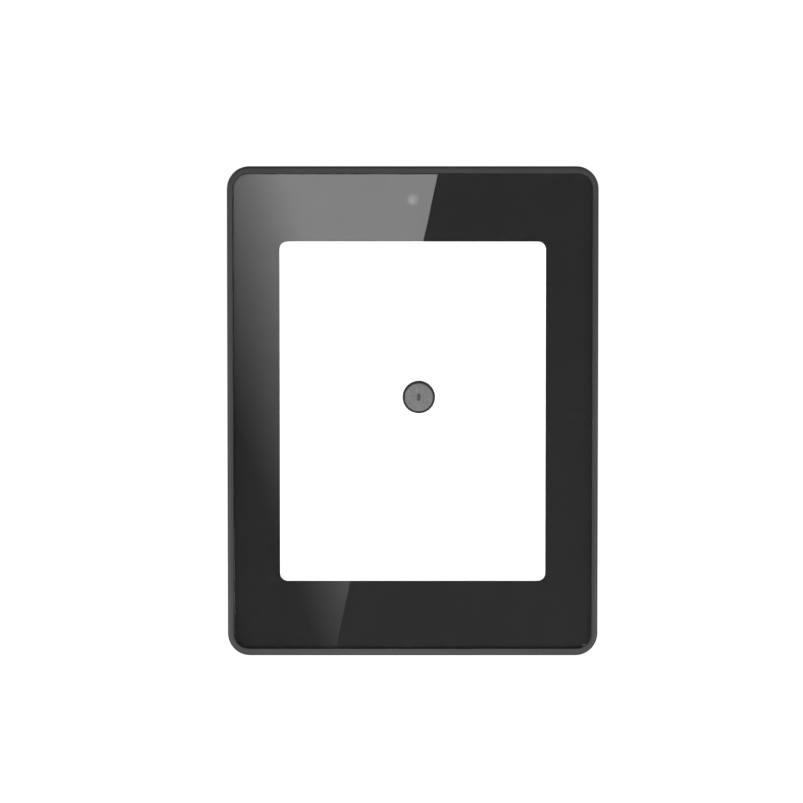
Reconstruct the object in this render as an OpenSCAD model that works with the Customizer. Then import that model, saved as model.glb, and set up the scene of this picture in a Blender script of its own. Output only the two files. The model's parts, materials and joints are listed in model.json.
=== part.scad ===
// Wall-mounted touch alarm keypad panel, seven inch class.
// X runs to the right, Z up, and the front faces -Y. The wall is the plane y = 0, and a depth is a
// distance in front of the wall. The origin is the centre of the wall plate's screw pattern.

/* [Panel] */
// Width of the housing
panel_w = 152.3; // [151:0.1:154]
// Height of the housing
panel_h = 201; // [200:0.5:203]
// Radius of the housing's corners
corner_r = 9.2; // [8.6:0.2:10]
// Width of the rim at the glass's sides, its gap included
rim_side = 2.5; // [2.4:0.1:3]
// Width of the rim above and below the glass, its gap included
rim_end = 3; // [2.6:0.1:3.2]
// Width of the lit window
window_w = 109.2; // [106:0.1:110.5]
// Height of the lit window
window_h = 139.4; // [136:0.1:141]
// Corner radius of the lit window
window_r = 3.2; // [2:0.2:5]

/* [Round key] */
// Radius of the key cap
key_r = 5.8; // [5.6:0.1:6.1]
// How far the key travels
key_travel = 0.8; // [0.5:0.05:0.8]
// Key's offset to the right of the panel's centre
key_x = 2.5; // [0:0.25:4]
// Key's height above the panel's centre
key_z = 6; // [4:0.1:7]

/* [Camera] */
// Camera's height above the panel's centre
camera_z = 87; // [86:0.1:87.2]
// Radius of the camera's clear spot in the glass print
camera_r = 2.25; // [1.5:0.05:2.4]

/* [Wall plate] */
// Distance between the wall screws, across
screw_span_x = 90; // [86:1:94]
// Distance between the wall screws, up and down
screw_span_z = 120; // [116:1:124]
// Radius of a wall screw's hole
screw_hole_r = 2.25; // [2:0.05:2.6]
// Distance between the two flush box screws
box_span = 60; // [59.5:0.1:60.5]
// How far the panel is lifted to come off its hooks
lift = 8; // [7.5:0.1:8]

/* [Tamper] */
// How far the tamper plunger stands out behind the wall plate
tamper_travel = 1.4; // [1:0.1:1.4]

/* [Hidden] */
$fn = 96;
// How far a cut runs past a face
past = 1;

// Depths in front of the wall
plate_front = 2.4;
plate_lip = 3.6;
cover_back = 1;
recess_depth = 5;
floor_depth = 7;
cover_front = 15.5;
hook_finger = [7.2, 8.6];
board_depth = [11, 12.6];
chassis_depth = [15, 16];
reflector_depth = [17, 17.2];
guide_depth = [17.2, 19];
diffuser_depth = [19, 19.5];
film_depth = [19.55, 19.8];
ledge_depth = [17.5, 19.5];
print_depth = [19.8, 19.88];
glass_depth = [19.9, 21.7];
rim_front = 22;
rim_round = 1.4;
key_front = 22.4;
seam = 0.3;

// Housing walls
wall = 2.2;
back_chamfer = 4;
cavity_back = 3.2;
cavity_chamfer = back_chamfer + wall * sqrt(2) - (cavity_back - cover_back);
lip_gap = 0.2;
lip_t = 1;
lip_h = 2;
gusset = [5.5, 3.5];
glass_gap = 0.06;
glass_w = panel_w - 2 * rim_side;
glass_h = panel_h - 2 * rim_end;
glass_r = corner_r - rim_end;

// Wall plate and the recess that it sits in
plate_w = 124;
plate_top = 80;
plate_bottom = -76;
recess_w = plate_w + 4;
recess_top = plate_top + 2;
recess_bottom = plate_bottom - lift - 0.6;
recess_wall = 2;
hook_xs = [-32, 32];
hook_zs = [-66, 56];
hook_w = 10;
hook_stem = 2.4;
hook_h = 8.4;
hook_gap = 0.2;
entry_z = 40;
// Fields sunk in the plate's wall side: each is [x, z, width, height], and its twin lies at -x
field_depth = 0.7;
field_r = 2.5;
fields = [[30, -22, 44, 42], [20, -63, 24, 18], [50, 38, 16, 24], [17, 68, 22, 14]];
arrow_z = 64;

// Screws: a head is [radius, height]
corner_x = panel_w / 2 - 9.5;
corner_z = panel_h / 2 - 14.5;
side_z = 30;
m3_r = 1.45;
m3_head = [2.9, 1.8];
m2_r = 1;
m2_head = [1.9, 1.2];
housing_seat = 6.2;
boss_r = 3.5;

// Frames, films and plates: outlines are [width, height, corner radius]
ledge_open = [139, 188, 4];
tape_inset = 0.3;
film_size = [130, 156, 2];
diffuser_size = [121, 155, 1];
chassis_size = [143, 192, 5];
bezel_boss_end = [19, 18.8];
ribbon_x = 30;
ribbon_w = 18;
ribbon_slot_z = 81.6;

// Backlight
led_count = 14;
led_pitch = 8.1;
led_w = 3;
led_board_w = 112;
led_board_t = 0.8;
tray_w = 124;
tray_h = 158;
tray_wall = 1.5;
guide_w = 116;
guide_h = 151;

// Round key and camera lens: a flange is [radius, thickness]
collar_r = key_r + 0.75;
collar_bore = key_r + 0.08;
collar_hole = collar_r + 0.15;
collar_flange = [9.5, 0.9];
key_flange = [7.2, 0.7];
key_flange_gap = 0.1;
key_back = chassis_depth[0] - key_flange_gap - key_flange[1];
dome_t = 0.4;
pad_gap = 0.05;
pill_back = board_depth[1] + pad_gap + key_travel;
lens_r = 2.6;

// Boards, battery and terminals
board_w = 110;
board_z = [-18, 82];
board_holes = [[-51, -14], [51, -14], [-51, 78], [51, 78]];
battery_size = [70, 50, 5];
battery_z = -55;
pad_t = 0.4;
terminal_ways = 8;
terminal_pitch = 5;
terminal_back = plate_front + 0.8;
terminal_split = 7.4;
screw_line_z = entry_z + 2.6;
socket_xs = [-44, -35];
socket_z = -12;

// Speaker, microphone and tamper plunger
speaker_size = [40, 15, 6];
speaker_x = -32;
speaker_back = 7.4;
gasket_t = 0.7;
speaker_z = -(panel_h / 2 - wall) + gasket_t;
speaker_front = speaker_back + speaker_size[2];
driver_back = speaker_front - 1.4;

mic_x = 40;
mic_depth = 9.7;
mic_r = 2.8;
tamper_x = -30;
tamper_z = 10;
tamper_r = 2.4;
tamper_bore = tamper_r + 0.08;
tamper_button = 10.15;
tamper_flange = [3.4, 7.1, 7.7];

// Stands a flat outline up in X and Z, filled from depth d0 to depth d1
module slab(d0, d1) {
    rotate([90, 0, 0]) translate([0, 0, d0]) linear_extrude(d1 - d0) children();
}

// A round rod or disc facing the front
module disc(r, x, z, d0, d1) {
    slab(d0, d1) translate([x, z]) circle(r);
}

// A turned shape about a line to the front: its outline has radius first, depth second
module turned(x, z) {
    translate([x, 0, z]) rotate([90, 0, 0]) rotate_extrude() children();
}

// A box given by its two corners in X, depth and Z
module block(x, d, z) {
    translate([x[0], -d[1], z[0]]) cube([x[1] - x[0], d[1] - d[0], z[1] - z[0]]);
}

// A flat rectangle with true round corners, centred
module rounded(w, h, r) {
    square([w - 2 * r, h], center = true);
    square([w, h - 2 * r], center = true);
    for (x = [-1, 1], y = [-1, 1])
        translate([x * (w / 2 - r), y * (h / 2 - r)]) circle(r);
}

// A rounded rectangle whose edge follows a profile of [inset, depth] steps from back to front
module profiled(w, h, r, profile) {
    last = len(profile) - 1;
    side = function (half) concat(
        [for (p = profile) [-p[1], half - p[0]]],
        [for (i = [last:-1:0]) [-profile[i][1], -half + profile[i][0]]]
    );
    rotate([90, 0, 90]) linear_extrude(w - 2 * r, center = true) polygon(side(h / 2));
    linear_extrude(h - 2 * r, center = true)
        polygon([for (p = side(w / 2)) [p[1], p[0]]]);
    for (x = [-1, 1], z = [-1, 1])
        turned(x * (w / 2 - r), z * (h / 2 - r))
            polygon(concat(
                [[0, profile[0][1]]],
                [for (p = profile) [r - p[0], p[1]]],
                [[0, profile[last][1]]]
            ));
}

// Four copies, one in each quarter, mirrored so that +X and +Z always point away from the centre
module quarters(x, z) {
    for (sx = [0, 1], sz = [0, 1])
        mirror([sx, 0, 0]) mirror([0, 0, sz]) translate([x, 0, z]) children();
}

// A screw whose head sits on the back of depth seat and whose shank points to the front
module screw(head, shank_r, seat, tip) {
    difference() {
        disc(head[0], 0, 0, seat - head[1], seat);
        for (turn = [0, 90])
            rotate([0, turn, 0])
                block([-head[0] * 0.6, head[0] * 0.6], [seat - head[1] - past, seat - head[1] / 2],
                    [-head[0] / 9, head[0] / 9]);
    }
    disc(shank_r, 0, 0, seat, tip);
}

// A thin wire through a list of points, each [x, depth, z], with its bends rounded over
module wire(points, r) {
    sides = 8;
    steps = 4;
    at = [for (p = points) [p[0], -p[1], p[2]]];
    last = len(at) - 1;
    mid = function (i) (at[i] + at[i + 1]) / 2;
    bend = function (i, t) (1 - t) * (1 - t) * mid(i - 1) + 2 * t * (1 - t) * at[i] + t * t * mid(i);
    path = concat(
        [at[0]],
        [for (i = [1:last - 1], k = [0:steps]) if (k > 0 || i == 1) bend(i, k / steps)],
        [at[last]]
    );
    rings = len(path) - 1;
    aim = function (i) path[min(i + 1, rings)] - path[max(i - 1, 0)];
    across = function (i) cross(aim(i), [1, 0, 0]) / norm(cross(aim(i), [1, 0, 0]));
    up = function (i) cross(across(i), aim(i)) / norm(aim(i));
    skin = [for (i = [0:rings], j = [0:sides - 1])
        path[i] + r * (cos(360 * j / sides) * across(i) + sin(360 * j / sides) * up(i))];
    tube(skin, rings, sides);
}

// Closes rings of points, given ring by ring, into a tube with flat ends
module tube(points, rings, sides) {
    walls = [for (i = [0:rings - 1], j = [0:sides - 1])
        let (a = i * sides + j, b = i * sides + (j + 1) % sides)
        [a, b, b + sides, a + sides]];
    start = [for (j = [sides - 1:-1:0]) j];
    end = [for (j = [0:sides - 1]) rings * sides + j];
    polyhedron(points, concat([start], walls, [end]));
}

// A flat ribbon: its middle line runs through [depth, z] points, level along X
module ribbon(x, w, points, t) {
    last = len(points) - 1;
    aim = function (i) points[min(i + 1, last)] - points[max(i - 1, 0)];
    edge = function (i, s) points[i] + s * t / 2 * [-aim(i)[1], aim(i)[0]] / norm(aim(i));
    outline = concat([for (i = [0:last]) edge(i, 1)], [for (i = [last:-1:0]) edge(i, -1)]);
    translate([x, 0, 0]) rotate([90, 0, 90]) linear_extrude(w, center = true)
        polygon([for (p = outline) [-p[0], p[1]]]);
}

module wall_plate() {
    plate_h = plate_top - plate_bottom;
    mid_z = (plate_top + plate_bottom) / 2;
    color("dimgray") {
        difference() {
            union() {
                slab(0, plate_front) translate([0, mid_z]) rounded(plate_w, plate_h, 6);
                slab(plate_front, plate_lip) translate([0, mid_z]) difference() {
                    rounded(plate_w, plate_h, 6);
                    rounded(plate_w - 4, plate_h - 4, 4);
                }
                slab(plate_front, plate_lip - 0.4) translate([0, entry_z]) difference() {
                    rounded(54, 34, 6);
                    rounded(50, 30, 4);
                }
            }
            slab(-past, plate_lip + past) translate([0, entry_z]) rounded(50, 30, 4);
            quarters(screw_span_x / 2, screw_span_z / 2)
                disc(screw_hole_r, 0, 0, -past, plate_front + past);
            for (s = [-1, 1]) disc(2.1, s * box_span / 2, entry_z, -past, plate_front + past);
            for (z = [tamper_z, tamper_z + lift]) disc(3, tamper_x, z, -past, plate_front + past);
            block([tamper_x - 3, tamper_x + 3], [-past, plate_front + past], [tamper_z, tamper_z + lift]);
            slab(-past, field_depth) for (side = [-1, 1], f = fields)
                translate([side * f[0], f[1]]) rounded(f[2], f[3], field_r);
            slab(-past, field_depth / 2) up_arrow();
        }
        for (x = hook_xs, z = hook_zs) hook(x, z);
    }
}

// Mark that shows which way up the plate goes
module up_arrow() {
    translate([0, arrow_z]) {
        polygon([[-3.2, 3.4], [3.2, 3.4], [0, 7.6]]);
        square([1.8, 7], center = true);
    }
}

// One upward hook, with the bottom of its stem at height z
module hook(x, z) {
    block([x - hook_w / 2, x + hook_w / 2], [plate_front, hook_finger[1]], [z, z + hook_stem]);
    block([x - hook_w / 2, x + hook_w / 2], hook_finger, [z, z + hook_h]);
    for (s = [-1, 1])
        translate([x + s * (hook_w / 2 - 0.5), 0, z]) rotate([90, 0, 90]) linear_extrude(1, center = true)
            polygon([[-plate_front, 0], [-plate_front, -4], [-plate_front - 2.4, 0]]);
}

module rear_cover() {
    color("dimgray") difference() {
        union() {
            difference() {
                profiled(panel_w, panel_h, corner_r, [
                    [back_chamfer, cover_back],
                    [0, cover_back + back_chamfer],
                    [0, cover_front - seam],
                    [seam, cover_front]
                ]);
                profiled(panel_w, panel_h, corner_r, [
                    [cavity_chamfer, cavity_back],
                    [wall, cavity_back + cavity_chamfer - wall],
                    [wall, cover_front + past]
                ]);
            }
            slab(cover_back, floor_depth) recess(recess_wall);
            quarters(corner_x, corner_z) {
                disc(4.8, 0, 0, cavity_back - past, housing_seat + 1.4);
                disc(boss_r, 0, 0, housing_seat, chassis_depth[0]);
            }
            for (z = [0:20:60])
                quarters(panel_w / 2 - gusset[0], z)
                    block([0, gusset[1]], [cavity_back, cover_front - lip_h - 0.6], [-0.6, 0.6]);
        }
        slab(cover_back - past, recess_depth) recess(0);
        quarters(corner_x, corner_z) {
            disc(3.3, 0, 0, cover_back - past, housing_seat);
            disc(m3_r + 0.2, 0, 0, housing_seat - past, chassis_depth[0] + past);
        }
        for (x = hook_xs, z = hook_zs)
            block([x - hook_w / 2 - hook_gap, x + hook_w / 2 + hook_gap],
                [recess_depth - past, floor_depth + past],
                [z - lift - 0.3, z + hook_stem + hook_gap]);
        slab(recess_depth - past, floor_depth + past) translate([0, entry_z]) rounded(46, 18, 2);
        disc(tamper_bore, tamper_x, tamper_z, recess_depth - past, floor_depth + past);
        for (i = [0:9])
            block([speaker_x - 15 + 3.2 * i, speaker_x - 13.8 + 3.2 * i], [8.4, 12.8],
                [-panel_h / 2 - past, -panel_h / 2 + wall + past]);
        for (i = [0:11])
            block([-18.2 + 3.2 * i, -17 + 3.2 * i], [8, 13],
                [panel_h / 2 - wall - past, panel_h / 2 + past]);
        translate([mic_x, -mic_depth, -panel_h / 2 - past]) cylinder(r = 0.7, h = wall + 2 * past);
    }
    color("dimgray") difference() {
        disc(4.2, tamper_x, tamper_z, plate_front + 0.4, recess_depth);
        disc(tamper_bore, tamper_x, tamper_z, 0, recess_depth + past);
    }
}

// Outline of the recess for the wall plate, grown by a margin all round
module recess(margin) {
    h = recess_top - recess_bottom;
    translate([0, (recess_top + recess_bottom) / 2])
        rounded(recess_w + 2 * margin, h + 2 * margin, 8 + margin);
}

module front_bezel() {
    color("dimgray") difference() {
        union() {
            difference() {
                union() {
                    profiled(panel_w, panel_h, corner_r, concat(
                        [[seam, cover_front], [0, cover_front + seam]],
                        [for (a = [0:15:90])
                            [rim_round * (1 - cos(a)), rim_front - rim_round * (1 - sin(a))]]
                    ));
                    slab(cover_front - lip_h, cover_front + past) inset_panel(wall + lip_gap);
                }
                slab(cover_front - lip_h - past, ledge_depth[0]) inset_panel(wall + lip_gap + lip_t);
                slab(ledge_depth[0] - past, ledge_depth[1] + past)
                    rounded(ledge_open[0], ledge_open[1], ledge_open[2]);
                slab(ledge_depth[1], rim_front + past)
                    rounded(glass_w + 2 * glass_gap, glass_h + 2 * glass_gap, glass_r + glass_gap);
            }
            quarters(corner_x, corner_z) {
                disc(3.2, 0, 0, chassis_depth[1], ledge_depth[1]);
                block([0, 5], ledge_depth, [-3.2, 3.2]);
            }
            quarters(corner_x, side_z) {
                disc(2.6, 0, 0, chassis_depth[1], ledge_depth[1]);
                block([0, 5], ledge_depth, [-2.6, 2.6]);
            }
        }
        quarters(corner_x, corner_z) disc(m3_r, 0, 0, chassis_depth[1] - past, bezel_boss_end[0]);
        quarters(corner_x, side_z) disc(m2_r, 0, 0, chassis_depth[1] - past, bezel_boss_end[1]);
    }
}

// Outline of the housing, drawn in by a margin
module inset_panel(margin) {
    rounded(panel_w - 2 * margin, panel_h - 2 * margin, corner_r - margin);
}

module key_hole(r = collar_hole) {
    translate([key_x, key_z]) circle(r);
}

module cover_glass() {
    color("dimgray", 0.4) difference() {
        profiled(glass_w, glass_h, glass_r, [
            [0.1, glass_depth[0]], [0, glass_depth[0] + 0.1],
            [0, glass_depth[1] - 0.3], [0.3, glass_depth[1]]
        ]);
        slab(glass_depth[0] - past, glass_depth[1] + past) key_hole();
    }
}

module black_border() {
    color("black") slab(print_depth[0], print_depth[1]) difference() {
        rounded(glass_w, glass_h, glass_r);
        rounded(window_w, window_h, window_r);
        translate([0, camera_z]) circle(camera_r);
    }
}

module glass_adhesive() {
    color("whitesmoke") slab(ledge_depth[1], print_depth[0]) difference() {
        rounded(glass_w - 2 * tape_inset, glass_h - 2 * tape_inset, glass_r - tape_inset);
        rounded(ledge_open[0] + 2 * tape_inset, ledge_open[1] + 2 * tape_inset, ledge_open[2]);
    }
}

module touch_film() {
    color("lightsteelblue", 0.5) slab(film_depth[0], film_depth[1]) difference() {
        rounded(film_size[0], film_size[1], film_size[2]);
        key_hole();
    }
}

module touch_ribbon() {
    color("darkorange") ribbon(ribbon_x, ribbon_w, [
        [19.7, film_size[1] / 2], [19.7, 80.6], [19.4, 81.3], [18.8, ribbon_slot_z],
        [15, ribbon_slot_z], [13.9, 81.3], [13.3, 80.6], [13.3, 79]
    ], 0.2);
}

module diffuser_sheet() {
    color("white") slab(diffuser_depth[0], diffuser_depth[1]) difference() {
        rounded(diffuser_size[0], diffuser_size[1], diffuser_size[2]);
        key_hole();
    }
}

module light_guide() {
    color("aliceblue", 0.6) slab(guide_depth[0], guide_depth[1]) difference() {
        square([guide_w, guide_h], center = true);
        key_hole();
    }
}

module reflector_sheet() {
    color("white") slab(reflector_depth[0], reflector_depth[1]) difference() {
        square([guide_w, guide_h], center = true);
        key_hole();
    }
}

module light_tray() {
    color("ivory") {
        slab(chassis_depth[1], reflector_depth[0]) difference() {
            rounded(tray_w, tray_h, 2.5);
            key_hole(collar_flange[0] + 0.3);
        }
        slab(reflector_depth[0], guide_depth[1]) difference() {
            rounded(tray_w, tray_h, 2.5);
            rounded(tray_w - 2 * tray_wall, tray_h - 2 * tray_wall, 1);
        }
    }
}

module led_board() {
    z = -tray_h / 2 + tray_wall;
    color("white") block([-led_board_w / 2, led_board_w / 2], guide_depth, [z, z + led_board_t]);
}

module led_chips() {
    z = -tray_h / 2 + tray_wall + led_board_t;
    color("gold") for (i = [0:led_count - 1]) {
        x = (i - (led_count - 1) / 2) * led_pitch;
        block([x - led_w / 2, x + led_w / 2], [guide_depth[0] + 0.2, guide_depth[1] - 0.2], [z, z + 1]);
    }
}

module chassis_plate() {
    color("silver") slab(chassis_depth[0], chassis_depth[1]) difference() {
        rounded(chassis_size[0], chassis_size[1], chassis_size[2]);
        key_hole(key_r + 0.4);
        translate([0, camera_z]) square(9.5, center = true);
        translate([ribbon_x, ribbon_slot_z]) square([ribbon_w + 2, 2.4], center = true);
        for (x = [-1, 1], z = [-1, 1]) {
            translate([x * corner_x, z * corner_z]) circle(m3_r + 0.35);
            translate([x * corner_x, z * side_z]) circle(m2_r + 0.15);
        }
        for (x = [-1, 1]) translate([x * 6.5, camera_z]) circle(0.8);
        for (p = board_holes) translate(p) circle(m2_r);
    }
}

module key_cap() {
    color("gray") difference() {
        turned(key_x, key_z) polygon([
            [0, key_back], [key_flange[0], key_back], [key_flange[0], key_back + key_flange[1]],
            [key_r, key_back + key_flange[1]], [key_r, key_front - 0.35], [key_r - 0.35, key_front],
            [0, key_front]
        ]);
        slab(key_front - 0.3, key_front + past) keyhole_mark();
    }
}

// A small keyhole outline: a round eye over a narrow stem
module keyhole_mark() {
    translate([key_x, key_z]) {
        translate([0, 0.65]) circle(0.75);
        translate([-0.55, -1.45]) square([1.1, 2]);
    }
}

module key_mark() {
    color("dimgray") slab(key_front - 0.3, key_front) keyhole_mark();
}

module key_collar() {
    color("black") turned(key_x, key_z) polygon([
        [collar_bore, chassis_depth[1]], [collar_flange[0], chassis_depth[1]],
        [collar_flange[0], chassis_depth[1] + collar_flange[1]],
        [collar_r, chassis_depth[1] + collar_flange[1]], [collar_r, 21.7], [collar_r - 0.2, 21.9],
        [collar_bore, 21.9]
    ]);
}

// Silicone dome under the key: a flat skirt on the board, a cone and a thick top
module key_dome() {
    base = board_depth[1];
    color("whitesmoke") turned(key_x, key_z) polygon([
        [5.4, base], [6.5, base], [6.5, base + dome_t], [5.2, base + dome_t], [3.6, key_back],
        [0, key_back], [0, key_back - dome_t], [3.2, key_back - dome_t], [4.8, base + 0.3]
    ]);
}

module key_pill() {
    color("black") disc(2.4, key_x, key_z, pill_back, key_back - dome_t);
}

module key_pads() {
    color("gold") difference() {
        disc(2.6, key_x, key_z, board_depth[1], board_depth[1] + 0.8 * pad_gap);
        slab(board_depth[1] - past, board_depth[1] + past) translate([key_x, key_z])
            square([0.5, 6], center = true);
    }
}

module main_board() {
    color("darkgreen") slab(board_depth[0], board_depth[1]) difference() {
        translate([0, (board_z[0] + board_z[1]) / 2]) rounded(board_w, board_z[1] - board_z[0], 2);
        for (p = board_holes) translate(p) circle(m2_r + 0.15);
    }
}

module board_standoffs() {
    color("goldenrod") slab(board_depth[1], chassis_depth[0])
        for (p = board_holes) translate(p) difference() {
            circle(2.2);
            circle(m2_r);
        }
}

module shield_can() {
    color("silver") difference() {
        block([10, 48], [9.2, board_depth[0]], [-8, 22]);
        block([10.3, 47.7], [9.5, board_depth[0] + past], [-7.7, 21.7]);
    }
}

module board_chips() {
    back = board_depth[0];
    color("black") {
        block([20, 34], [back - 1, back], [0, 14]);
        block([37, 45], [back - 0.9, back], [4, 14]);
        block([-20, -11], [back - 0.9, back], [2, 11]);
        block([-14, -8], [back - 1.4, back], [56, 61]);
        block([6, 14], [back - 1.4, back], [55, 61]);
    }
}

module board_capacitors() {
    color("silver") for (z = [34, 42, 50]) disc(3.1, 47, z, 7.9, board_depth[0]);
}

module ribbon_sockets() {
    color("ivory") for (x = [0, 30])
        block([x - 11 + abs(x - 30) / 6, x + 11 - abs(x - 30) / 6], [board_depth[1], 13.7], [74.5, 79]);
}

module lead_sockets() {
    color("ivory") for (x = socket_xs) difference() {
        block([x - 3, x + 3], [8, board_depth[0]], [socket_z, socket_z + 6]);
        block([x - 2.2, x + 2.2], [8.7, board_depth[0] - 0.6], [socket_z - past, socket_z + 4]);
    }
}

module terminal_header() {
    half = terminal_ways * terminal_pitch / 2 + 0.5;
    color("darkgreen") block([-half, half], [terminal_split, board_depth[0]],
        [entry_z - 4.5, entry_z + 4.5]);
}

function terminal_xs() = [for (i = [0:terminal_ways - 1]) (i - (terminal_ways - 1) / 2) * terminal_pitch];

module terminal_plug() {
    half = terminal_ways * terminal_pitch / 2;
    color("forestgreen") difference() {
        block([-half, half], [terminal_back, terminal_split], [entry_z - 6, entry_z + 6]);
        for (x = terminal_xs()) {
            disc(1.7, x, screw_line_z, 0, 5.4);
            block([x - 1.2, x + 1.2], [4, 6.6], [entry_z - 6 - past, entry_z - 1]);
        }
    }
}

module terminal_screws() {
    color("silver") for (x = terminal_xs()) difference() {
        disc(1.5, x, screw_line_z, 3.9, 5.4);
        block([x - 2, x + 2], [3.9 - past, 4.4], [screw_line_z - 0.3, screw_line_z + 0.3]);
    }
}

module buzzer() {
    color("black") difference() {
        disc(6, -46, 58, 7.6, board_depth[0]);
        disc(1, -46, 58, 7.6 - past, 8.6);
    }
}

module battery() {
    d1 = chassis_depth[0] - pad_t;
    color("lightslategray") slab(d1 - battery_size[2], d1) translate([0, battery_z])
        rounded(battery_size[0], battery_size[1], 2);
}

module battery_pad() {
    color("white") slab(chassis_depth[0] - pad_t, chassis_depth[0]) translate([0, battery_z])
        square([60, 40], center = true);
}

module battery_lead() {
    color("firebrick") for (i = [0, 1])
        wire([
            [-26 - 3 * i, 12, battery_z + battery_size[1] / 2], [-26 - 3 * i, 12, -26.5],
            [-30 - 2.4 * i, 9.9, -22], [-34 - 2 * i, 9.7, -17], [-34 - 2 * i, 9.7, socket_z + 4]
        ], 0.5);
}

module speaker_box() {
    skin = 1.2;
    x = [speaker_x - speaker_size[0] / 2, speaker_x + speaker_size[0] / 2];
    color("black") difference() {
        block(x, [speaker_back, speaker_front], [speaker_z, speaker_z + speaker_size[1]]);
        block([x[0] + skin, x[1] - skin], [speaker_back + skin, driver_back],
            [speaker_z + skin, speaker_z + speaker_size[1] - skin]);
        block([x[0] + 4, x[1] - 4], [speaker_back + skin, driver_back - 0.4],
            [speaker_z - past, speaker_z + 2]);
        slab(driver_back - past, chassis_depth[0]) driver_outline();
    }
}

module speaker_driver() {
    color("silver") slab(driver_back, speaker_front) driver_outline();
}

module driver_outline() {
    translate([speaker_x, speaker_z + speaker_size[1] / 2])
        rounded(speaker_size[0] - 10, speaker_size[1] - 3, 3);
}

module speaker_gasket() {
    outer = speaker_size[0] / 2;
    inner = outer - 3.4;
    color("darkslategray") difference() {
        block([speaker_x - outer, speaker_x + outer], [speaker_back + 0.2, speaker_front - 0.2],
            [speaker_z - gasket_t, speaker_z]);
        block([speaker_x - inner, speaker_x + inner], [speaker_back + 1, speaker_front - 0.6],
            [speaker_z - gasket_t - past, speaker_z + past]);
    }
}

module speaker_lead() {
    top = speaker_z + speaker_size[1];
    color("black") for (i = [0, 1])
        wire([
            [-42 - 2.5 * i, 10.4, top], [-42 - 2.5 * i, 10.4, -76], [-44 - 2.5 * i, 9.9, -68],
            [-43 - 2 * i, 9.7, -20], [-43 - 2 * i, 9.7, socket_z + 4]
        ], 0.45);
}

module mic_capsule() {
    z = -panel_h / 2 + wall + 0.6;
    color("silver") translate([mic_x, -mic_depth, z]) cylinder(r = mic_r, h = 2.7);
}

module mic_boot() {
    z = -panel_h / 2 + wall;
    color("black") translate([mic_x, -mic_depth, z]) rotate_extrude()
        polygon([[0.9, 0], [mic_r + 0.8, 0], [mic_r + 0.8, 2.6], [mic_r, 2.6], [mic_r, 0.6], [0.9, 0.6]]);
}

module wifi_antenna() {
    color("peru") block([10, 58], [cavity_back, cavity_back + 0.3], [88, 94.5]);
}

module antenna_lead() {
    color("black") {
        wire([
            [14, cavity_back + 0.9, 91], [14, cavity_back + 0.9, 88.6], [13, 7.9, 86.2],
            [12, 9.7, 81.5], [12, 9.9, 75]
        ], 0.5);
        disc(1.3, 12, 75, 9.4, board_depth[0]);
    }
}

module camera_board() {
    color("darkgreen") slab(chassis_depth[0] - 0.8, chassis_depth[0]) difference() {
        translate([0, camera_z]) rounded(17, 12, 1);
        for (x = [-1, 1]) translate([x * 6.5, camera_z]) circle(0.9);
    }
}

module camera_housing() {
    color("black") {
        slab(chassis_depth[0], 18) translate([0, camera_z]) square(8.5, center = true);
        turned(0, camera_z) polygon([
            [0, 18], [lens_r + 0.9, 18], [lens_r + 0.9, 19.4], [lens_r, 19.4], [lens_r, 18.8], [0, 18.8]
        ]);
    }
}

module camera_lens() {
    rise = 0.5;
    color("slategray") turned(0, camera_z)
        polygon(concat([[0, 18.8]], [for (a = [0:15:90]) [lens_r * cos(a), 19.1 + rise * sin(a)]]));
}

module camera_ribbon() {
    color("darkorange") ribbon(0, 9, [
        [14.1, 81.6], [14.1, 80.6], [13.9, 80], [13.3, 79.6], [13.3, 79]
    ], 0.2);
}

module camera_screws() {
    color("silver") for (s = [-1, 1]) translate([s * 6.5, 0, camera_z])
        screw([1.4, 0.8], 0.8, chassis_depth[0] - 0.8, chassis_depth[1]);
}

module housing_screws() {
    color("silver") quarters(corner_x, corner_z) screw(m3_head, m3_r, housing_seat, bezel_boss_end[0]);
}

module chassis_screws() {
    color("silver") quarters(corner_x, side_z) screw(m2_head, m2_r, chassis_depth[0], bezel_boss_end[1]);
}

module board_screws() {
    color("silver") for (p = board_holes) translate([p[0], 0, p[1]])
        screw(m2_head, m2_r, board_depth[0], chassis_depth[1]);
}

module tamper_switch() {
    color("silver") block([tamper_x - 3, tamper_x + 3], [tamper_button + 0.25, board_depth[0]],
        [tamper_z - 3, tamper_z + 3]);
    color("black") disc(1.5, tamper_x, tamper_z, tamper_button, tamper_button + 0.25);
}

// Conical spring between the plunger's flange and the switch's button
module tamper_spring() {
    wire_r = 0.15;
    turns = 3;
    sides = 8;
    rings = 16 * turns;
    start = tamper_flange[2] + wire_r;
    end = tamper_button - wire_r;
    big = 2.7;
    small = 1.1;
    points = [for (i = [0:rings], j = [0:sides - 1])
        let (
            turn = 360 * turns * i / rings,
            round = 360 * j / sides,
            r = big + (small - big) * i / rings + wire_r * cos(round),
            depth = start + (end - start) * i / rings + wire_r * sin(round)
        )
        [tamper_x + r * cos(turn), -depth, tamper_z + r * sin(turn)]];
    color("silver") tube(points, rings, sides);
}

module tamper_plunger() {
    color("white") turned(tamper_x, tamper_z) polygon([
        [0, -tamper_travel], [tamper_r - 0.5, -tamper_travel], [tamper_r, -tamper_travel + 0.5],
        [tamper_r, tamper_flange[1]], [tamper_flange[0], tamper_flange[1]],
        [tamper_flange[0], tamper_flange[2]], [0, tamper_flange[2]]
    ]);
}

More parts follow.
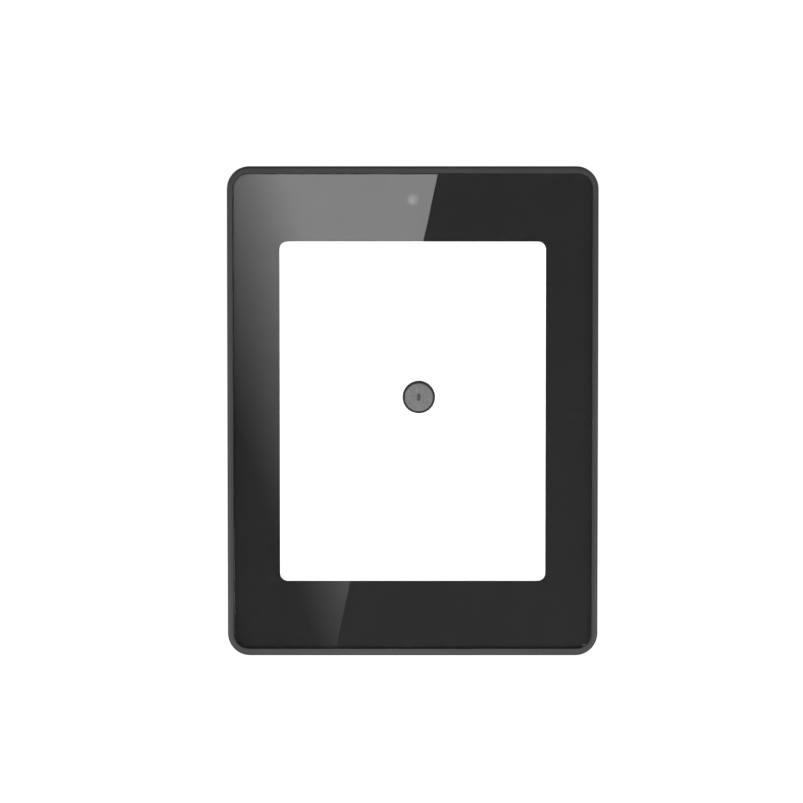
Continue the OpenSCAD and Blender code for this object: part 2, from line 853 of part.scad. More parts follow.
wall_plate();
rear_cover();
front_bezel();
cover_glass();
black_border();
glass_adhesive();
touch_film();
touch_ribbon();
diffuser_sheet();
light_guide();
reflector_sheet();
light_tray();
led_board();
led_chips();
chassis_plate();
key_cap();
key_mark();
key_pill();
key_collar();
key_dome();
key_pads();
main_board();
board_standoffs();
shield_can();
board_chips();
board_capacitors();
ribbon_sockets();
lead_sockets();
terminal_header();
terminal_plug();
terminal_screws();
buzzer();
battery();
battery_pad();
battery_lead();
speaker_box();
speaker_driver();
speaker_gasket();
speaker_lead();
mic_capsule();
mic_boot();
wifi_antenna();
antenna_lead();
camera_board();
camera_housing();
camera_lens();
camera_ribbon();
camera_screws();
housing_screws();
chassis_screws();
board_screws();
tamper_switch();
tamper_spring();
tamper_plunger();
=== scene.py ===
"""Looks for a wall-mounted touch alarm keypad panel: its finishes, soft pieces, light and camera."""

import json
import math

import bmesh
import bpy
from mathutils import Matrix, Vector


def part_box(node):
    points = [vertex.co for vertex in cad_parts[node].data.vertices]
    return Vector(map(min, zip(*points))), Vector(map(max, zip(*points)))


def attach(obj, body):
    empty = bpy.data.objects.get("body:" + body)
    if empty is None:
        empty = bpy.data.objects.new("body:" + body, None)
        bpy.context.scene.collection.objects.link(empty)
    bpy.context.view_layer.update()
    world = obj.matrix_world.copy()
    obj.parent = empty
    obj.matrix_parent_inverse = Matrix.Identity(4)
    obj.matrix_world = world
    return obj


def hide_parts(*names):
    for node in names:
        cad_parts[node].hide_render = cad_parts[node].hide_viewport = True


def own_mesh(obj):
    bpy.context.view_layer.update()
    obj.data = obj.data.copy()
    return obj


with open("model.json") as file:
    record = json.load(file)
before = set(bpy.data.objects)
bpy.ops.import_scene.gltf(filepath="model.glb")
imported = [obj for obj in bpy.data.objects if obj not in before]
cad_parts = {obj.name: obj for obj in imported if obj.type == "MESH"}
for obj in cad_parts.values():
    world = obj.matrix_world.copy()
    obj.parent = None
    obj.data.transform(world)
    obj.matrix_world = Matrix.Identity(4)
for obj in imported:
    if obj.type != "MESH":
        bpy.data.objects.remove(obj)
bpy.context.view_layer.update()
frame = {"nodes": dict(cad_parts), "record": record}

MM = 0.001

# Places, all worked out from the frame
LOW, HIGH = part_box("rear_cover")
CENTRE = (LOW + HIGH) / 2
GLASS_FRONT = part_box("cover_glass")[0].y

# Camera: straight on, from a little above. It aims up and to the left of the panel's middle.
VIEW_DISTANCE = 0.6
VIEW_RISE = math.radians(1.35)
AIM = Vector((CENTRE.x - 4.6 * MM, GLASS_FRONT, CENTRE.z + 4.2 * MM))
CAMERA_PLACE = AIM + VIEW_DISTANCE * Vector((0, -math.cos(VIEW_RISE), math.sin(VIEW_RISE)))
LENS_MM = 65.6
SENSOR_MM = 36
NEAREST_SEEN = 0.01

# The light card that the glass mirrors: it ends at a slanting edge, and fades to the left and down.
# CARD_EDGE holds the edge's x at mid-height and its slope. CARD_FADE is the fade's direction and rate,
# CARD_FADE_RANGE where it starts and ends, and CARD_TONES its levels before CARD_CONTRAST is applied.
CARD_DISTANCE = 1.2
CARD_LEFT = -82 * MM
CARD_HALF_HEIGHT = 105 * MM
CARD_EDGE = (-10.65 * MM, 0.215)
CARD_FADE = Vector((1.52, 0, 0.553)) / MM
CARD_FADE_RANGE = (-113.9, -26.9)
CARD_TONES = (0.2120, 0.5354)
CARD_CONTRAST = 2.4

# The share of light that the glass mirrors, and the level that the black print shows by itself: its own ink
# tone raised by painted reflection, which stands in for part of the room that the glass mirrors
GLASS_MIRROR = 0.077
PRINT_INK_AND_REFLECTION = 0.018

# Soft square lights: azimuth (0 in front, 90 to the panel's right), elevation, distance, side and power
LIGHTS = {
    "left_light": (-46, -14, 1.3, 0.7, 5.8),
    "right_light": (46, -14, 1.3, 0.7, 4.8),
    "low_light": (0, -38, 0.38, 0.12, 0.19),
    "back_left_light": (-140, 25, 1.4, 0.8, 6),
    "back_right_light": (140, 25, 1.4, 0.8, 6),
}

# The world's level for most rays, and the levels for what is mirrored and for what the camera sees
WORLD_LEVEL = 0.28
WORLD_MIRRORED = 0.12
WORLD_SEEN = 1.02

# The floor: how far below the panel it lies, half its side, and the strength of its own glow
FLOOR_DROP = 0.5
FLOOR_HALF = 4
FLOOR_GLOW = 0.85

# How strongly the diffuser sheet behind the window glows
WINDOW_GLOW = 0.75

# The silicone dome: radii at its waist and crown, the membrane's thickness, the foot's height and taper,
# and the radius of the vent in its crown
DOME_WAIST = 5.2 * MM
DOME_CROWN = 3.5 * MM
DOME_SKIN = 0.38 * MM
DOME_FOOT = 0.35 * MM
DOME_TAPER = 0.05 * MM
DOME_VENT = 0.05 * MM
DOME_STEPS = 8

# The tamper spring: the wire's radius, the small end's radius, the turns, how much of a turn lies flat
# at each end, and the mesh's sides and steps a turn
SPRING_WIRE = 0.15 * MM
SPRING_SMALL_END = 1.1 * MM
SPRING_TURNS = 4
SPRING_FLAT_TURN = 0.6
SPRING_SIDES = 12
SPRING_STEPS = 36

# Rounding of edges, in millimetres, as a mould, a punch or a cutter leaves it
SOFT_EDGES = {
    "wall_plate": 0.3, "rear_cover": 0.25, "front_bezel": 0.14, "key_cap": 0.12, "key_collar": 0.08,
    "key_mark": 0.04, "tamper_plunger": 0.15, "housing_screws": 0.1, "terminal_plug": 0.15,
    "terminal_header": 0.15, "terminal_screws": 0.06, "board_screws": 0.07, "camera_screws": 0.05,
    "chassis_screws": 0.07, "board_standoffs": 0.1, "chassis_plate": 0.12, "light_tray": 0.15,
    "main_board": 0.08, "camera_board": 0.06, "camera_housing": 0.12, "shield_can": 0.12,
    "board_chips": 0.08, "board_capacitors": 0.25, "buzzer": 0.25, "ribbon_sockets": 0.12,
    "lead_sockets": 0.1, "speaker_box": 0.25, "speaker_driver": 0.2, "speaker_gasket": 0.12,
    "mic_capsule": 0.2, "mic_boot": 0.1, "tamper_switch": 0.05, "battery": 1.2, "battery_pad": 0.1,
    "led_chips": 0.06, "led_board": 0.05, "light_guide": 0.06, "key_pill": 0.08, "glass_adhesive": 0.05,
}
BEVEL_SEGMENTS = 3
BEVEL_ANGLE = math.radians(32)
FLAT_ANGLE = math.radians(0.5)
WELD_GAP = 0.002 * MM


class Paint:
    """Builds one material's nodes. Scales are in repeats per metre of the object's own coordinates."""

    def __init__(self, slot):
        plain = bpy.data.materials.get(slot)
        if plain:
            bpy.data.materials.remove(plain)
        self.material = bpy.data.materials.new(slot)
        self.material.use_nodes = True
        self.tree = self.material.node_tree
        self.tree.nodes.clear()
        self.output = self.add("ShaderNodeOutputMaterial")
        self.place = self.add("ShaderNodeTexCoord").outputs["Object"]

    def add(self, kind, **settings):
        node = self.tree.nodes.new(kind)
        for name, value in settings.items():
            setattr(node, name, value)
        return node

    def put(self, socket, value):
        """Links a socket to another node's output, or sets it to a constant."""
        if isinstance(value, bpy.types.NodeSocket):
            self.tree.links.new(value, socket)
        else:
            socket.default_value = value

    def put_colour(self, socket, colour):
        """Links a colour socket, or sets it to a colour of three numbers."""
        self.put(socket, colour if isinstance(colour, bpy.types.NodeSocket) else (*colour, 1))

    def stretched(self, x, y, z):
        """Coordinates scaled apart along the three axes."""
        node = self.add("ShaderNodeMapping")
        self.put(node.inputs["Vector"], self.place)
        node.inputs["Scale"].default_value = (x, y, z)
        return node.outputs["Vector"]

    def noise(self, scale, detail=3.0, rough=0.55, twist=0.0, place=None):
        node = self.add("ShaderNodeTexNoise")
        self.put(node.inputs["Vector"], place or self.place)
        node.inputs["Scale"].default_value = scale
        node.inputs["Detail"].default_value = detail
        node.inputs["Roughness"].default_value = rough
        node.inputs["Distortion"].default_value = twist
        return node.outputs["Fac"]

    def cells(self, scale, feature="F1", distance="EUCLIDEAN", spread=1.0, place=None):
        node = self.add("ShaderNodeTexVoronoi", feature=feature)
        if feature != "DISTANCE_TO_EDGE":
            node.distance = distance
        self.put(node.inputs["Vector"], place or self.place)
        node.inputs["Scale"].default_value = scale
        node.inputs["Randomness"].default_value = spread
        return node

    def along(self, axis):
        """The coordinate along one axis."""
        node = self.add("ShaderNodeSeparateXYZ")
        self.put(node.inputs[0], self.place)
        return node.outputs[axis]

    def maths(self, operation, *values):
        node = self.add("ShaderNodeMath", operation=operation)
        for socket, value in zip(node.inputs, values):
            self.put(socket, value)
        return node.outputs[0]

    def spread(self, value, low, high, start=0.3, end=0.7):
        """Maps a noise value, which mostly lies from start to end, to a range from low to high."""
        node = self.add("ShaderNodeMapRange")
        for name, number in (("From Min", start), ("From Max", end), ("To Min", low), ("To Max", high)):
            node.inputs[name].default_value = number
        self.put(node.inputs["Value"], value)
        return node.outputs["Result"]

    def mix(self, factor, first, second):
        """Mixes two colours."""
        node = self.add("ShaderNodeMix", data_type="RGBA")
        self.put(node.inputs[0], factor)
        self.put_colour(node.inputs[6], first)
        self.put_colour(node.inputs[7], second)
        return node.outputs[2]

    def bump(self, height, depth, after=None):
        """A bump whose height of 1 stands depth metres out."""
        node = self.add("ShaderNodeBump")
        node.inputs["Distance"].default_value = depth
        self.put(node.inputs["Height"], height)
        if after:
            self.put(node.inputs["Normal"], after)
        return node.outputs["Normal"]

    def surface(self, colour, roughness, normal=None, **constants):
        """The main shader. Constants are socket names with _ for a space, such as Coat_Weight."""
        node = self.add("ShaderNodeBsdfPrincipled")
        self.put_colour(node.inputs["Base Color"], colour)
        self.put(node.inputs["Roughness"], roughness)
        if normal:
            self.put(node.inputs["Normal"], normal)
        for name, value in constants.items():
            node.inputs[name.replace("_", " ")].default_value = value
        return node.outputs[0]

    def done(self, shader):
        self.put(self.output.inputs["Surface"], shader)
        return self.material


def shade(colour, factor):
    """A colour made darker or lighter."""
    return tuple(min(1.0, c * factor) for c in colour)


def moulded(slot, colour, rough, grain, depth, uneven=0.07, pit_shade=0.0, **constants):
    """Moulded plastic or rubber: a spark-eroded grain, slow changes of tone, and patches of polish.

    The grain's size and depth are in millimetres, and pit_shade is how much painted shade darkens the
    grain's pits, its lowest points.
    """
    paint = Paint(slot)
    tone = paint.spread(paint.noise(55, 4), 0, 1)
    colours = paint.mix(tone, shade(colour, 1 - uneven), shade(colour, 1 + uneven))
    grain_height = paint.spread(paint.noise(1 / (grain * MM), 2), 0, 1)
    # Painted shade: the grain's pits, where its height is lowest, are darkened towards a third of the
    # colour.
    if pit_shade:
        pit_shade_mask = paint.spread(grain_height, pit_shade, 0, 0, 1)
        colours = paint.mix(pit_shade_mask, colours, shade(colour, 0.3))
    polish = paint.spread(paint.noise(140, 5, twist=0.6), rough[0], rough[1])
    peel = paint.bump(paint.noise(0.9 / MM, 2), 0.6 * depth * MM)
    normal = paint.bump(grain_height, depth * MM, peel)
    return paint.done(paint.surface(colours, polish, normal, **constants))


def metal(slot, colour, rough, brush=(1, 1, 1), tarnish=0.12):
    """Bare or plated metal: brushed along the short numbers of brush, with dull spots."""
    paint = Paint(slot)
    lines = paint.noise(1500, 3, place=paint.stretched(*brush))
    spots = paint.spread(paint.noise(420, 4, twist=0.4), 0, 1, 0.45, 0.75)
    colours = paint.mix(spots, colour, shade(colour, 1 - tarnish))
    polish = paint.spread(lines, rough[0], rough[1])
    normal = paint.bump(lines, 0.002 * MM)
    return paint.done(paint.surface(colours, polish, normal, Metallic=1.0))


def foam(slot, colour, cell=0.5):
    """Cut foam: open cells between thin walls, with painted shade darkening each cell's hollow."""
    paint = Paint(slot)
    holes = paint.cells(1 / (cell * MM)).outputs["Distance"]
    # Painted shade: the colour darkens towards the middle of each cell, the hollow of its pore.
    colours = paint.mix(paint.spread(holes, 1, 0, 0.1, 0.6), shade(colour, 0.55), colour)
    normal = paint.bump(holes, 0.12 * MM)
    return paint.done(paint.surface(colours, paint.spread(paint.noise(600), 0.8, 0.95), normal))


def clear_to_light(paint, shader):
    """Lets lamps shine through glass, which would otherwise cast a black shadow."""
    ray = paint.add("ShaderNodeLightPath").outputs["Is Shadow Ray"]
    clear = paint.add("ShaderNodeBsdfTransparent").outputs[0]
    node = paint.add("ShaderNodeMixShader")
    for socket, value in zip(node.inputs, (ray, shader, clear)):
        paint.put(socket, value)
    return paint.done(node.outputs[0])


def glass(slot):
    """Clean float glass with faint finger smudges."""
    paint = Paint(slot)
    smudge = paint.noise(38, 5, 0.6, 1.2)
    streaks = paint.noise(90, 4, 0.6, 0.8, paint.stretched(1.0, 1.0, 0.35))
    haze = paint.maths("MULTIPLY", paint.spread(smudge, 0, 1, 0.5, 0.75), streaks)
    rough = paint.spread(haze, 0.0, 0.012, 0, 0.5)
    normal = paint.bump(paint.noise(14, 2), 0.0006 * MM)
    shader = paint.surface((1, 1, 1), rough, normal, Transmission_Weight=1.0, IOR=1.5)
    return clear_to_light(paint, shader)


def printed_black_and_reflection(slot):
    """Black ink on the back of the glass. It has no shine of its own, because the glass wets it. Its dark
    grey is the ink's own tone raised by painted reflection, which carries part of the level that the
    glass's mirror of the room would give.
    """
    paint = Paint(slot)
    patches = paint.spread(paint.noise(45, 4), 0, 1)
    # Painted reflection: these greys are the ink's own tone raised to carry part of the glass's mirror of
    # the room.
    colours = paint.mix(patches, (0.0172, 0.0172, 0.0175), (0.0188, 0.0188, 0.0193))
    return paint.done(paint.surface(colours, paint.spread(patches, 0.5, 0.6, 0, 1), Specular_IOR_Level=0.0))


def touch_film(slot):
    """Touch sensor film: clear, with a fine grid of sensing lines that hardly shows."""
    paint = Paint(slot)
    lines = None
    for axis in ("X", "Z"):
        wave = paint.maths("SINE", paint.maths("MULTIPLY", paint.along(axis), math.tau / (5 * MM)))
        line = paint.maths("GREATER_THAN", wave, 0.998)
        lines = paint.maths("MAXIMUM", lines, line) if lines else line
    rough = paint.spread(paint.noise(70, 3), 0.05, 0.09)
    shader = paint.surface((0.75, 0.8, 0.85), rough)
    paint.put(shader.node.inputs["Alpha"], paint.maths("MULTIPLY_ADD", lines, 0.03, 0.03))
    return paint.done(shader)


def glowing_diffuser(slot):
    """Milky diffuser sheet, lit evenly from behind."""
    paint = Paint(slot)
    cloud = paint.spread(paint.noise(60, 3), 0.0, 1.0)
    glow = paint.mix(cloud, (0.99, 0.995, 1.0), (1.0, 1.0, 1.0))
    normal = paint.bump(paint.noise(2600, 2), 0.004 * MM)
    shader = paint.surface((0.85, 0.85, 0.85), paint.spread(paint.noise(800), 0.55, 0.7), normal)
    paint.put(shader.node.inputs["Emission Color"], glow)
    paint.put(shader.node.inputs["Emission Strength"], WINDOW_GLOW)
    return paint.done(shader)


def light_guide(slot):
    """Clear acrylic with a printed grid of white dots that sends the light forward."""
    paint = Paint(slot)
    dots = paint.cells(1 / (1.2 * MM), spread=0.0).outputs["Distance"]
    dot = paint.spread(dots, 1, 0, 0.25, 0.3)
    colours = paint.mix(dot, (0.93, 0.96, 1.0), (1.0, 1.0, 1.0))
    rough = paint.maths("MULTIPLY_ADD", dot, 0.6, 0.08)
    shader = paint.surface(colours, rough, paint.bump(dot, 0.01 * MM), Transmission_Weight=0.9, IOR=1.49)
    return clear_to_light(paint, shader)


def circuit_board(slot):
    """Green solder mask, lighter over the copper tracks, with small plated holes."""
    paint = Paint(slot)
    tracks = paint.cells(1 / (3.2 * MM), "DISTANCE_TO_EDGE", spread=0.9, place=paint.stretched(1, 0, 1))
    track = paint.spread(tracks.outputs["Distance"], 1, 0, 0.06, 0.08)
    holes = paint.cells(1 / (4 * MM), distance="CHEBYCHEV", spread=0.8, place=paint.stretched(1, 0, 1))
    hole = paint.spread(holes.outputs["Distance"], 1, 0, 0.07, 0.09)
    weave = paint.noise(2200, 1, place=paint.stretched(1, 1, 0.4))
    mask = paint.mix(paint.spread(weave, 0, 1), (0.006, 0.060, 0.022), (0.010, 0.085, 0.034))
    colours = paint.mix(track, mask, (0.028, 0.165, 0.055))
    colours = paint.mix(hole, colours, (0.75, 0.62, 0.34))
    normal = paint.bump(paint.maths("ADD", track, hole), 0.03 * MM)
    rough = paint.maths("MULTIPLY_ADD", paint.noise(300), 0.15, 0.2)
    return paint.done(paint.surface(colours, rough, normal, Coat_Weight=0.3, Coat_Roughness=0.15))


def flat_ribbon(slot, base, line, pitch):
    """A flexible printed circuit: copper lines side by side under an amber or black film."""
    paint = Paint(slot)
    wave = paint.maths("SINE", paint.maths("MULTIPLY", paint.along("X"), math.tau / (pitch * MM)))
    track = paint.spread(wave, 0, 1, 0.1, 0.3)
    colours = paint.mix(track, base, line)
    rough = paint.spread(paint.noise(350, 4), 0.22, 0.4)
    normal = paint.bump(track, 0.015 * MM, paint.bump(paint.noise(500, 3), 0.01 * MM))
    return paint.done(paint.surface(colours, rough, normal, Coat_Weight=0.4, Coat_Roughness=0.2))


def galvanised(slot, colour):
    """Zinc-plated sheet with its frost-like spangle."""
    paint = Paint(slot)
    flakes = paint.cells(1 / (4 * MM)).outputs["Color"]
    grey = paint.add("ShaderNodeSeparateColor")
    paint.put(grey.inputs[0], flakes)
    flake = grey.outputs[0]
    colours = paint.mix(flake, shade(colour, 0.85), shade(colour, 1.1))
    rough = paint.spread(flake, 0.3, 0.5, 0, 1)
    normal = paint.bump(paint.noise(900, 3), 0.003 * MM)
    return paint.done(paint.surface(colours, rough, normal, Metallic=1.0))


def pouch(slot, colour):
    """Aluminium-laminate pouch cell, softly creased, with painted shade in the creases' hollows and painted
    light on their ridges.
    """
    paint = Paint(slot)
    crease_height_and_shade = paint.noise(120, 5, 0.5, 1.5)
    # Painted shade and light: the colour follows the creases' height, darker in their hollows and lighter
    # on their ridges.
    colours = paint.mix(paint.spread(crease_height_and_shade, 0, 1), shade(colour, 0.85), shade(colour, 1.1))
    normal = paint.bump(crease_height_and_shade, 0.35 * MM, paint.bump(paint.noise(1600), 0.003 * MM))
    rough = paint.spread(paint.noise(260, 3), 0.28, 0.42)
    return paint.done(paint.surface(colours, rough, normal, Metallic=0.75))


def coated_lens(slot):
    """Camera lens: smoky coated glass, darker in the middle, where painted shade stands for the dark inside
    of the camera.
    """
    paint = Paint(slot)
    low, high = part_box("camera_lens")
    middle = (low + high) / 2
    away = paint.add("ShaderNodeVectorMath", operation="DISTANCE")
    paint.put(away.inputs[0], paint.stretched(1, 0, 1))
    away.inputs[1].default_value = (middle.x, 0, middle.z)
    # Painted shade: a darker disc in the middle stands for the dark inside of the camera behind the lens.
    pupil_shade = paint.spread(away.outputs["Value"], 1, 0, 0.2 * MM, 0.9 * MM)
    dust = paint.spread(paint.noise(2400, 3), 0, 1)
    smoke = paint.mix(dust, (0.102, 0.104, 0.108), (0.122, 0.124, 0.128))
    colours = paint.mix(pupil_shade, smoke, (0.086, 0.088, 0.095))
    rough = paint.spread(paint.noise(900), 0.12, 0.2)
    return paint.done(paint.surface(colours, rough, Coat_Weight=0.8, Coat_Roughness=0.03))


def cast_key(slot):
    """The key's satin grey face, mottled as the real one is."""
    paint = Paint(slot)
    blotch = paint.spread(paint.noise(900, 3, 0.6, 0.5), 0, 1)
    fine = paint.spread(paint.noise(5200, 2), 0, 1)
    colours = paint.mix(blotch, (0.120, 0.120, 0.120), (0.203, 0.203, 0.203))
    colours = paint.mix(paint.maths("MULTIPLY", fine, 0.3), colours, (0.204, 0.204, 0.204))
    normal = paint.bump(fine, 0.004 * MM, paint.bump(blotch, 0.01 * MM))
    return paint.done(paint.surface(colours, paint.spread(blotch, 0.48, 0.62), normal))


def make_finishes():
    """One material for each of the record's slots."""
    dark = (0.042, 0.042, 0.047)
    return [
        # pit_shade below is painted shade in the grain's pits.
        moulded("bezel_plastic", dark, (0.36, 0.46), 0.2, 0.0035, pit_shade=0.06),
        moulded("housing_plastic", shade(dark, 1.05), (0.44, 0.56), 0.5, 0.016, pit_shade=0.3),
        moulded("plate_plastic", (0.078, 0.078, 0.083), (0.48, 0.6), 0.6, 0.022, pit_shade=0.3),
        glass("cover_glass"),
        printed_black_and_reflection("black_print"),
        foam("foam_tape", (0.62, 0.62, 0.6), 0.3),
        touch_film("touch_film"),
        flat_ribbon("ribbon_film", (0.36, 0.13, 0.02), (0.55, 0.25, 0.06), 0.8),
        glowing_diffuser("diffuser_film"),
        light_guide("guide_acrylic"),
        moulded("white_plastic", (0.78, 0.78, 0.76), (0.35, 0.5), 0.2, 0.003, 0.03),
        moulded("led_phosphor", (0.85, 0.68, 0.12), (0.3, 0.4), 0.08, 0.002),
        galvanised("steel_sheet", (0.62, 0.63, 0.64)),
        cast_key("key_plastic"),
        moulded("mark_plastic", (0.061, 0.061, 0.062), (0.5, 0.6), 0.1, 0.004),
        moulded("collar_plastic", (0.02, 0.02, 0.021), (0.3, 0.42), 0.12, 0.004),
        moulded("silicone", (0.66, 0.66, 0.62), (0.42, 0.55), 0.3, 0.002, 0.04, Subsurface_Weight=0.15),
        moulded("carbon_rubber", (0.012, 0.012, 0.013), (0.7, 0.85), 0.1, 0.006),
        metal("gold_plate", (0.86, 0.62, 0.24), (0.22, 0.34)),
        circuit_board("circuit_board"),
        metal("brass", (0.72, 0.52, 0.22), (0.24, 0.36), (1, 12, 1)),
        metal("tin_plate", (0.72, 0.72, 0.7), (0.26, 0.38), (0.1, 1, 1)),
        moulded("chip_epoxy", (0.016, 0.016, 0.017), (0.5, 0.62), 0.09, 0.005),
        metal("capacitor_can", (0.78, 0.79, 0.8), (0.2, 0.32), (1, 12, 1)),
        moulded("socket_plastic", (0.62, 0.57, 0.44), (0.4, 0.52), 0.15, 0.003),
        moulded("terminal_plastic", (0.012, 0.17, 0.05), (0.4, 0.52), 0.18, 0.004),
        metal("screw_steel", (0.58, 0.58, 0.6), (0.26, 0.4), tarnish=0.25),
        moulded("black_plastic", (0.016, 0.016, 0.017), (0.42, 0.55), 0.2, 0.006),
        pouch("battery_wrap", (0.5, 0.52, 0.55)),
        foam("white_foam", (0.7, 0.7, 0.68)),
        moulded("red_wire", (0.42, 0.02, 0.018), (0.34, 0.46), 0.5, 0.004),
        moulded("black_wire", (0.014, 0.014, 0.015), (0.34, 0.46), 0.5, 0.004),
        metal("speaker_steel", (0.5, 0.5, 0.5), (0.3, 0.44), (1, 1, 0.08)),
        foam("grey_foam", (0.09, 0.09, 0.095), 0.4),
        metal("mic_can", (0.75, 0.76, 0.77), (0.24, 0.36), (1, 1, 12)),
        moulded("boot_rubber", (0.018, 0.018, 0.019), (0.65, 0.8), 0.2, 0.006),
        flat_ribbon("antenna_copper", (0.02, 0.02, 0.022), (0.6, 0.33, 0.14), 4.0),
        coated_lens("lens_glass"),
        metal("spring_steel", (0.6, 0.6, 0.62), (0.2, 0.32)),
        moulded("plunger_plastic", (0.7, 0.7, 0.67), (0.35, 0.48), 0.2, 0.003, 0.03),
    ]


def soften(piece, width):
    """Welds the frame's faces together, joins flat ones, and rounds the sharp edges."""
    weld = piece.modifiers.new("weld", "WELD")
    weld.merge_threshold = WELD_GAP
    flat = piece.modifiers.new("flat", "DECIMATE")
    flat.decimate_type = "DISSOLVE"
    flat.angle_limit = FLAT_ANGLE
    bevel = piece.modifiers.new("bevel", "BEVEL")
    bevel.width = width
    bevel.segments = BEVEL_SEGMENTS
    bevel.limit_method = "ANGLE"
    bevel.angle_limit = BEVEL_ANGLE
    bevel.use_clamp_overlap = False
    bevel.harden_normals = True


def make_piece(name, mesh, finish, body, node):
    """A mesh piece that stands for a CAD node and rides on its body."""
    piece = bpy.data.objects.new(name, mesh)
    bpy.context.collection.objects.link(piece)
    mesh.materials.append(finish)
    for face in mesh.polygons:
        face.use_smooth = True
    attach(piece, body)
    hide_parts(node)
    return piece


def tube_mesh(name, rings, closed_rings=False):
    """Joins rings of points into a skin, with a flat face at each end unless closed_rings joins the two."""
    mesh = bpy.data.meshes.new(name)
    sides = len(rings[0])
    points = [point for ring in rings for point in ring]
    count = len(rings)
    spans = count if closed_rings else count - 1
    faces = []
    for i in range(spans):
        for j in range(sides):
            a, b = i * sides + j, i * sides + (j + 1) % sides
            c, d = (b + sides) % len(points), (a + sides) % len(points)
            faces.append((a, b, c, d))
    if not closed_rings:
        faces.append(tuple(reversed(range(sides))))
        faces.append(tuple(range((count - 1) * sides, count * sides)))
    mesh.from_pydata(points, [], faces)
    shell = bmesh.new()
    shell.from_mesh(mesh)
    bmesh.ops.recalc_face_normals(shell, faces=shell.faces)
    shell.to_mesh(mesh)
    shell.free()
    return mesh


def turned_mesh(name, axis, outline, sides=72):
    """Turns a closed outline of [radius, y] points about a line along Y through axis."""
    rings = []
    for i in range(sides):
        angle = math.tau * i / sides
        rings.append([(axis.x + r * math.cos(angle), y, axis.z + r * math.sin(angle)) for r, y in outline])
    return tube_mesh(name, rings, closed_rings=True)


def add_dome(finish):
    """The key's silicone return dome: a skirt, a membrane that curves like a bell, and a flat crown."""
    low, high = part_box("key_dome")
    middle = (low + high) / 2
    base, top = high.y, low.y
    foot = base - DOME_FOOT
    skirt = (high.x - low.x) / 2
    bell = []
    for i in range(DOME_STEPS + 1):
        share = i / DOME_STEPS
        lift = (1 - math.cos(math.pi * share)) / 2
        bell.append((DOME_WAIST + (DOME_CROWN - DOME_WAIST) * share, foot + (top - foot) * lift))
    outside = [(skirt, base), (skirt - DOME_TAPER, foot), *bell, (DOME_VENT, top)]
    inner_bell = [(r - DOME_SKIN, y + DOME_SKIN) for r, y in reversed(bell)]
    inside = [(DOME_VENT, top + DOME_SKIN), *inner_bell, (DOME_WAIST, base)]
    mesh = turned_mesh("return_dome", middle, outside + inside)
    dome = make_piece("return_dome", mesh, finish, "panel", "key_dome")
    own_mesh(dome)


def add_spring(finish):
    """The tamper plunger's conical spring, with its ends wound flat."""
    low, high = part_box("tamper_spring")
    middle = (low + high) / 2
    big = (high.x - low.x) / 2 - SPRING_WIRE
    start, end = high.y - SPRING_WIRE, low.y + SPRING_WIRE
    rings = []
    for i in range(SPRING_TURNS * SPRING_STEPS + 1):
        share = i / (SPRING_TURNS * SPRING_STEPS)
        angle = math.tau * SPRING_TURNS * share
        climb = (share * SPRING_TURNS - SPRING_FLAT_TURN) / (SPRING_TURNS - 2 * SPRING_FLAT_TURN)
        rise = min(1.0, max(0.0, climb))
        reach = big + (SPRING_SMALL_END - big) * share
        ring = []
        for j in range(SPRING_SIDES):
            round_wire = math.tau * j / SPRING_SIDES
            r = reach + SPRING_WIRE * math.cos(round_wire)
            y = start + (end - start) * rise + SPRING_WIRE * math.sin(round_wire)
            ring.append((middle.x + r * math.cos(angle), y, middle.z + r * math.sin(angle)))
        rings.append(ring)
    mesh = tube_mesh("return_spring", rings)
    spring = make_piece("return_spring", mesh, finish, "panel", "tamper_spring")
    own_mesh(spring)


def finish_frame():
    """Gives every CAD node its finish, and rounds the edges of most."""
    finishes = {material.name: material for material in make_finishes()}
    for row in frame["record"]["subparts"]:
        piece = frame["nodes"][row["node"]]
        piece.data.materials.clear()
        piece.data.materials.append(finishes[row["material_slot"]])
    for node, width in SOFT_EDGES.items():
        soften(frame["nodes"][node], width * MM)
    return finishes


def add_light(name, azimuth, elevation, distance, size, power):
    """A square soft light that faces the panel."""
    lamp = bpy.data.lights.new(name, "AREA")
    lamp.size = size
    lamp.energy = power
    light = bpy.data.objects.new(name, lamp)
    around, up = math.radians(azimuth), math.radians(elevation)
    away = Vector((math.sin(around) * math.cos(up), -math.cos(around) * math.cos(up), math.sin(up)))
    light.location = CENTRE + away * distance
    light.rotation_euler = away.to_track_quat("Z", "Y").to_euler()
    bpy.context.collection.objects.link(light)


def flat_sheet(name, corners):
    """A flat mesh with one face."""
    mesh = bpy.data.meshes.new(name)
    mesh.from_pydata(corners, [], [range(len(corners))])
    sheet = bpy.data.objects.new(name, mesh)
    bpy.context.collection.objects.link(sheet)
    return sheet


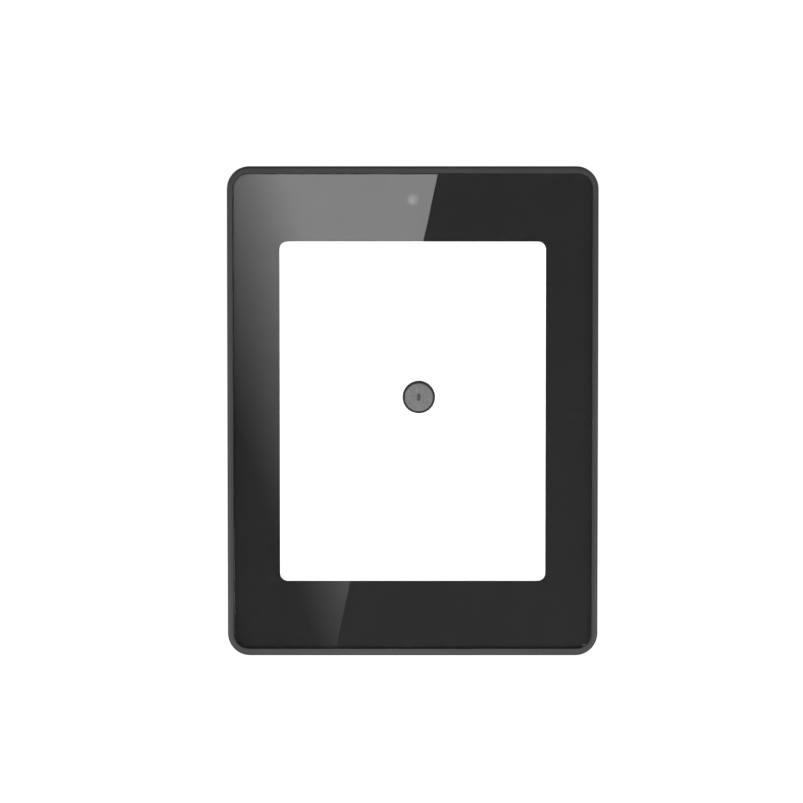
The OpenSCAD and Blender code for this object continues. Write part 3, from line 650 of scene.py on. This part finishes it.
def add_card():
    """A glowing card in front of the panel.

    Its mesh is drawn as the glass mirrors it in the main view, then scaled up to the card's distance.
    """
    reach = CARD_DISTANCE / VIEW_DISTANCE
    edge_middle, edge_slope = CARD_EDGE
    card = flat_sheet("light_card", [
        (CARD_LEFT, 0, -CARD_HALF_HEIGHT),
        (edge_middle - edge_slope * CARD_HALF_HEIGHT, 0, -CARD_HALF_HEIGHT),
        (edge_middle + edge_slope * CARD_HALF_HEIGHT, 0, CARD_HALF_HEIGHT),
        (CARD_LEFT, 0, CARD_HALF_HEIGHT),
    ])
    seen_from = CAMERA_PLACE - CENTRE
    card.location = CENTRE - reach * seen_from
    card.location.y = GLASS_FRONT - CARD_DISTANCE
    card.scale = (1 + reach, 1, 1 + reach)
    card.visible_camera = False
    card.visible_diffuse = False
    card.visible_shadow = False

    paint = Paint("light_card")
    slope = paint.add("ShaderNodeVectorMath", operation="DOT_PRODUCT")
    paint.put(slope.inputs[0], paint.place)
    slope.inputs[1].default_value = CARD_FADE
    tone = paint.spread(slope.outputs["Value"], *CARD_TONES, *CARD_FADE_RANGE)
    light = paint.maths("POWER", tone, CARD_CONTRAST)
    # The black print's colour already carries part of the glass's reflection as painted reflection, so the
    # card gives only the rest.
    light = paint.maths("SUBTRACT", light, PRINT_INK_AND_REFLECTION)
    emission = paint.add("ShaderNodeEmission")
    paint.put(emission.inputs["Strength"], paint.maths("DIVIDE", light, GLASS_MIRROR))
    card.data.materials.append(paint.done(emission.outputs[0]))


def add_floor():
    """A plain pale floor, far enough below the panel for views from below."""
    height = LOW.z - FLOOR_DROP
    ways = ((-1, -1), (1, -1), (1, 1), (-1, 1))
    floor = flat_sheet("floor", [(x * FLOOR_HALF, y * FLOOR_HALF, height) for x, y in ways])
    floor.visible_glossy = False
    floor.visible_transmission = False
    paint = Paint("floor")
    tone = paint.mix(paint.spread(paint.noise(3), 0, 1), (0.86, 0.86, 0.86), (0.88, 0.88, 0.88))
    shader = paint.surface(tone, 0.9)
    shader.node.inputs["Emission Color"].default_value = (1, 1, 1, 1)
    shader.node.inputs["Emission Strength"].default_value = FLOOR_GLOW
    floor.data.materials.append(paint.done(shader))


def add_world():
    """White behind the object, a dim even light round it, and a dimmer one for the glass to mirror."""
    world = bpy.data.worlds.new("studio")
    world.use_nodes = True
    nodes, links = world.node_tree.nodes, world.node_tree.links
    rays = nodes.new("ShaderNodeLightPath").outputs
    mirrored = nodes.new("ShaderNodeMix")
    links.new(rays["Is Glossy Ray"], mirrored.inputs[0])
    mirrored.inputs[2].default_value = WORLD_LEVEL
    mirrored.inputs[3].default_value = WORLD_MIRRORED
    seen = nodes.new("ShaderNodeMix")
    links.new(rays["Is Camera Ray"], seen.inputs[0])
    links.new(mirrored.outputs[0], seen.inputs[2])
    seen.inputs[3].default_value = WORLD_SEEN
    links.new(seen.outputs[0], nodes["Background"].inputs["Strength"])
    nodes["Background"].inputs["Color"].default_value = (1, 1, 1, 1)
    bpy.context.scene.world = world


def add_camera():
    data = bpy.data.cameras.new("camera")
    data.lens = LENS_MM
    data.sensor_width = SENSOR_MM
    data.clip_start = NEAREST_SEEN
    camera = bpy.data.objects.new("camera", data)
    camera.location = CAMERA_PLACE
    camera.rotation_euler = (math.pi / 2 - VIEW_RISE, 0, 0)
    bpy.context.collection.objects.link(camera)
    bpy.context.scene.camera = camera


def add_studio():
    add_camera()
    add_world()
    add_floor()
    add_card()
    for name, setting in LIGHTS.items():
        add_light(name, *setting)
    bpy.context.scene.view_settings.view_transform = "Standard"


finishes = finish_frame()
add_dome(finishes["silicone"])
add_spring(finishes["spring_steel"])
add_studio()
